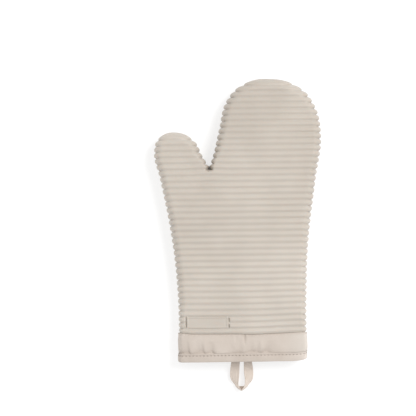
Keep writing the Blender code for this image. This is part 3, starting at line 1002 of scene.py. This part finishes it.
def build_loop(look):
    """The tape loop: hollowed at its tip, and creased across its side away from the thumb."""
    inner, outer = loop_line()
    place, across = (inner + outer) / 2, (inner - outer) / 2
    face = np.cross(np.gradient(place, axis=0), across)
    face /= np.linalg.norm(face, axis=1)[:, None]
    section = tape_section()
    points = []
    for i, at in enumerate(run_length(place)):
        down = -place[i, 1]
        curl = 0.3 * MM * math.sin(at / (6 * MM))
        hollow = 2.2 * MM * smoothstep(25 * MM, 30 * MM, down)
        creased = plateau(0, 3 * MM, 10 * MM, 17 * MM, down) * (place[i, 0] > 0)
        for a, t in section:
            out = t * TAPE_THICK / 2 + curl * (a * a - 0.4) + hollow * (1 - a * a)
            out -= 0.9 * MM * creased * smoothstep(-0.25, 0.25, a - 0.75 + down / (6.5 * MM))
            points.append(place[i] + across[i] * a + face[i] * out)
    ids = np.arange(len(points)).reshape(len(place), len(section))
    faces = grid_faces(np.column_stack([ids, ids[:, :1]])).tolist()
    faces += [ids[0].tolist(), ids[-1][::-1].tolist()]
    tape = add_mesh("twill_tape_loop", points, faces, look, body=None)
    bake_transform(tape)
    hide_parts("hang_loop", "loop_end_left", "loop_end_right")


def build_tack(look):
    """The bar tack: close zigzag stitches across both ends of the tape."""
    level = TAPE_LEVEL + TAPE_THICK / 2 + 0.15 * MM
    knots = []
    for k in range(TACK_STEPS + 1):
        x = LOOP_CENTRE_X - TACK_WIDTH / 2 + TACK_WIDTH * k / TACK_STEPS
        knots.append((x, TACK_Y + (TACK_HEIGHT / 2 if k % 2 else -TACK_HEIGHT / 2), level))
    curve = bpy.data.curves.new("bar_tack_line", "CURVE")
    curve.dimensions = "3D"
    curve.bevel_depth = TACK_RADIUS
    curve.bevel_resolution = 1
    curve.use_fill_caps = True
    spline = curve.splines.new("POLY")
    spline.points.add(len(knots) - 1)
    for point, knot in zip(spline.points, to_frame(knots)):
        point.co = (*knot, 1)
    mesh = curve_mesh(curve)
    mesh.materials.clear()
    mesh.materials.append(look)
    piece = bpy.data.objects.new("zigzag_bar_tack", mesh)
    bpy.context.scene.collection.objects.link(piece)
    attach(piece, "mitt")
    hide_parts("bar_tack")


# ---------------------------------------------------------------- stage, lights and camera

def build_stage():
    """A pale floor that gives a little light of its own, so that it stays near white."""
    bpy.ops.mesh.primitive_plane_add(size=6, location=(0, 0, 0))
    floor = bpy.context.object
    floor.name = "floor"
    m = Nodes("floor", 0.9, 0.1)
    m.colour(m.ramp(m.noise(2, 2), 0.3, 0.7, FLOOR))
    m.set("Emission Color", (1, 1, 1, 1))
    m.set("Emission Strength", FLOOR_LIGHT)
    floor.data.materials.append(m.material)


def area_light(name, place, aim, size, power):
    data = bpy.data.lights.new(name, "AREA")
    data.shape = "DISK"
    data.size = size
    data.energy = power
    light = bpy.data.objects.new(name, data)
    bpy.context.scene.collection.objects.link(light)
    light.location = place
    light.rotation_euler = (Vector(aim) - Vector(place)).to_track_quat("-Z", "Y").to_euler()


def build_lights():
    """White light all round, a soft key from the upper right, and a weak low one from the left."""
    world = bpy.data.worlds.new("studio")
    bpy.context.scene.world = world
    world.use_nodes = True
    background = world.node_tree.nodes["Background"]
    background.inputs["Color"].default_value = (1, 1, 1, 1)
    background.inputs["Strength"].default_value = WORLD_LIGHT
    area_light("key", place=(1.08, 0.68, 1.95), aim=(0, 0.03, 0), size=1.0, power=32)
    area_light("side", place=(-1.7, 0.05, 0.5), aim=(0, 0.02, 0.02), size=1.0, power=3.5)
    bpy.context.scene.view_settings.view_transform = "Standard"
    bpy.context.scene.view_settings.look = "None"


def build_camera():
    """The camera straight above the mitt, turned by a degree."""
    data = bpy.data.cameras.new("camera")
    data.sensor_width = 36
    data.lens = 135
    camera = bpy.data.objects.new("camera", data)
    bpy.context.scene.collection.objects.link(camera)
    distance = SEEN_WIDTH * data.lens / data.sensor_width
    middle = ORIGIN + SEEN_MIDDLE
    camera.location = (middle[0], middle[1], PARTING_Z + distance)
    camera.rotation_euler = (0, 0, CAMERA_TURN)
    bpy.context.scene.camera = camera


BASE_LINE = outline_points()

build_camera()
build_lights()
build_stage()

thread = thread_material("thread_with_painted_shade", DARK_THREAD_WITH_SHADE)
pale_thread = thread_material("pale_thread", PALE_THREAD)
cuff = CuffLoop(CUFF_STEPS)

build_silicone(silicone_material())
build_liner(wadding_material(), woven_material("lining_weave", LINING, 0.8 * MM))
build_band(cuff, woven_material("cuff_twill", CUFF, 1.3 * MM))
build_hem(cuff, woven_material("binding_twill", BINDING, 1.3 * MM, slant=-1.0))
stitch_row("hem_stitches", cuff, HEM_STITCH_Y, hem_stitch_depth, HEM_STITCH_LENGTH, thread, "hem_thread")
stitch_row(
    "band_stitches", cuff, BAND_STITCH_Y, band_stitch_depth, BAND_STITCH_LENGTH, pale_thread, "band_thread"
)
build_loop(woven_material("tape_twill", TAPE, 1.0 * MM))
build_tack(pale_thread)
